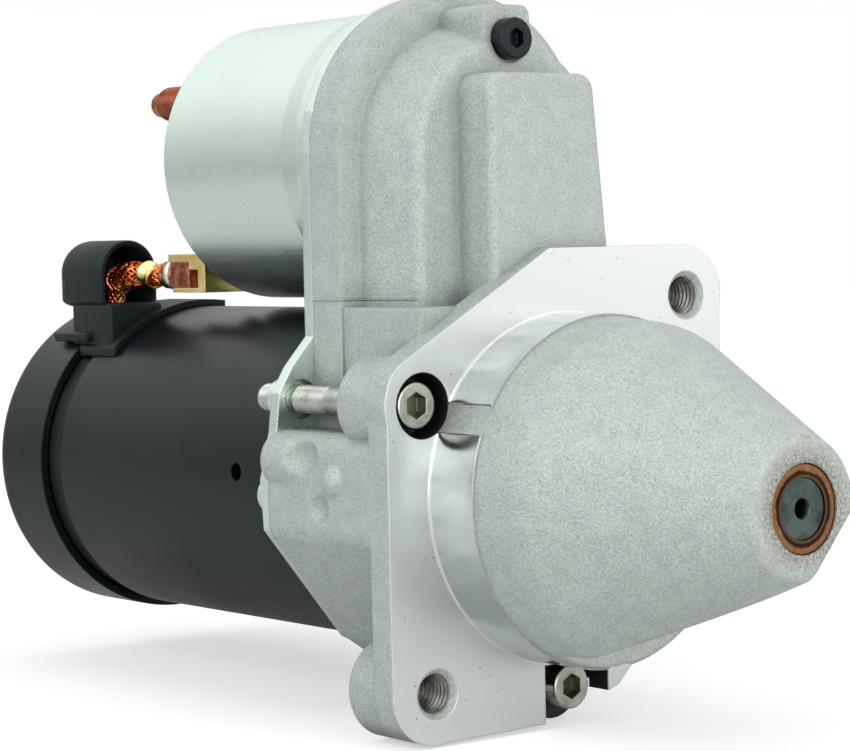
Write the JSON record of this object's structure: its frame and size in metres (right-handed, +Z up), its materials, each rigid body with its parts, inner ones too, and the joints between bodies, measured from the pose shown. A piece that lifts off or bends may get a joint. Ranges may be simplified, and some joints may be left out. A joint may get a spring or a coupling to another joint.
{
  "type": "starter motor",
  "caption": "Starter motor with closed nose, planetary gears, sliding pinion and clutch, fork lever, solenoid on top and braided lead.",
  "frame": {"origin": "on the shaft axis at the front face of the mounting flange", "axes": "+X along the output shaft towards the nose, +Z up towards the solenoid"},
  "size_m": [0.2511, 0.0992, 0.161],
  "materials": {
    "cast_aluminium": "sand-grained casting with machined faces",
    "zinc_plate": "greenish zinc plating",
    "bright_steel": "bright steel",
    "dark_steel": "hardened steel",
    "black_paint": "satin black paint",
    "black_rubber": "matt rubber",
    "black_plastic": "moulded",
    "copper": "bare copper",
    "brass": "brass strip",
    "bronze": "sintered bronze",
    "iron": "laminated iron",
    "carbon": "carbon",
    "paper": "gasket sheet"
  },
  "bodies": {
    "housing": {"drive_end_housing": "cast_aluminium", "nose_bush": "bronze", "support_bush": "bronze", "ring_gear": "black_plastic", "lever_pin": "bright_steel", "intermediate_plate": "zinc_plate", "plate_gasket": "paper", "flange_bolts": "bright_steel", "solenoid_screws": "black_paint", "plate_screws": "zinc_plate", "tie_bolts": "bright_steel", "solenoid_can": "zinc_plate", "solenoid_coil": "copper", "solenoid_core": "iron", "return_spring": "bright_steel", "contact_spring": "bright_steel", "solenoid_cap": "black_plastic", "battery_stud": "copper", "motor_terminal": "copper", "trigger_tab": "brass", "yoke": "black_paint", "magnets": "iron", "rear_cover": "black_paint", "rear_bush": "bronze", "rear_seal_ring": "black_rubber", "brush_holder": "black_plastic", "brushes": "carbon", "brush_springs": "bright_steel", "lead_hood": "black_rubber", "motor_lead": "copper", "lead_band": "brass", "lead_end_block": "copper", "lead_clip": "brass"},
    "armature": {"armature_shaft": "bright_steel", "armature_core": "iron", "armature_windings": "copper", "commutator": "copper", "sun_gear": "dark_steel"},
    "output": {"output_shaft": "dark_steel", "planet_pins": "bright_steel", "stop_collar": "dark_steel", "stop_ring": "bright_steel"},
    "planet_1": {"planet_gear_1": "dark_steel"},
    "planet_2": {"planet_gear_2": "dark_steel"},
    "planet_3": {"planet_gear_3": "dark_steel"},
    "clutch": {"clutch_barrel": "bright_steel", "clutch_rollers": "bright_steel", "guide_sleeve": "dark_steel"},
    "pinion": {"pinion": "dark_steel"},
    "fork": {"fork_lever": "black_plastic"},
    "plunger": {"plunger": "bright_steel"},
    "contact": {"contact_rod": "bright_steel", "contact_bridge": "copper"}
  },
  "joints": [
    {"name": "armature_spin", "type": "hinge", "parent": "housing", "child": "armature", "pos_m": [0, 0, 0], "axis": [1, 0, 0], "continuous": true},
    {"name": "output_spin", "type": "hinge", "parent": "housing", "child": "output", "pos_m": [0, 0, 0], "axis": [1, 0, 0], "continuous": true},
    {"name": "planet_1_spin", "type": "hinge", "parent": "output", "child": "planet_1", "pos_m": [0, 0, 0.01485], "axis": [1, 0, 0], "continuous": true},
    {"name": "planet_2_spin", "type": "hinge", "parent": "output", "child": "planet_2", "pos_m": [0, -0.01286, -0.00743], "axis": [1, 0, 0], "continuous": true},
    {"name": "planet_3_spin", "type": "hinge", "parent": "output", "child": "planet_3", "pos_m": [0, 0.01286, -0.00743], "axis": [1, 0, 0], "continuous": true},
    {"name": "plunger_slide", "type": "slide", "parent": "housing", "child": "plunger", "axis": [-1, 0, 0], "range_m": [0, 0.009], "stiffness_N_per_m": 1200, "springref_m": -0.004},
    {"name": "fork_swing", "type": "hinge", "parent": "housing", "child": "fork", "pos_m": [-0.014, 0, 0.046], "axis": [0, -1, 0], "range_deg": [0, 20]},
    {"name": "clutch_slide", "type": "slide", "parent": "output", "child": "clutch", "axis": [1, 0, 0], "range_m": [0, 0.016]},
    {"name": "pinion_overrun", "type": "hinge", "parent": "clutch", "child": "pinion", "pos_m": [0, 0, 0], "axis": [1, 0, 0], "continuous": true},
    {"name": "contact_slide", "type": "slide", "parent": "housing", "child": "contact", "axis": [-1, 0, 0], "range_m": [0, 0.0026]}
  ],
  "couplings": [
    {"joint": "output_spin", "follows": "armature_spin", "ratio": 0.2037},
    {"joint": "planet_1_spin", "follows": "armature_spin", "ratio": -0.54745},
    {"joint": "planet_2_spin", "follows": "armature_spin", "ratio": -0.54745},
    {"joint": "planet_3_spin", "follows": "armature_spin", "ratio": -0.54745},
    {"joint": "clutch_slide", "follows": "plunger_slide", "ratio": 1.7777},
    {"joint": "fork_swing", "follows": "plunger_slide", "rad_per_m": 38.78},
    {"joint": "contact_slide", "follows": "plunger_slide", "ratio": 0.2888}
  ]
}
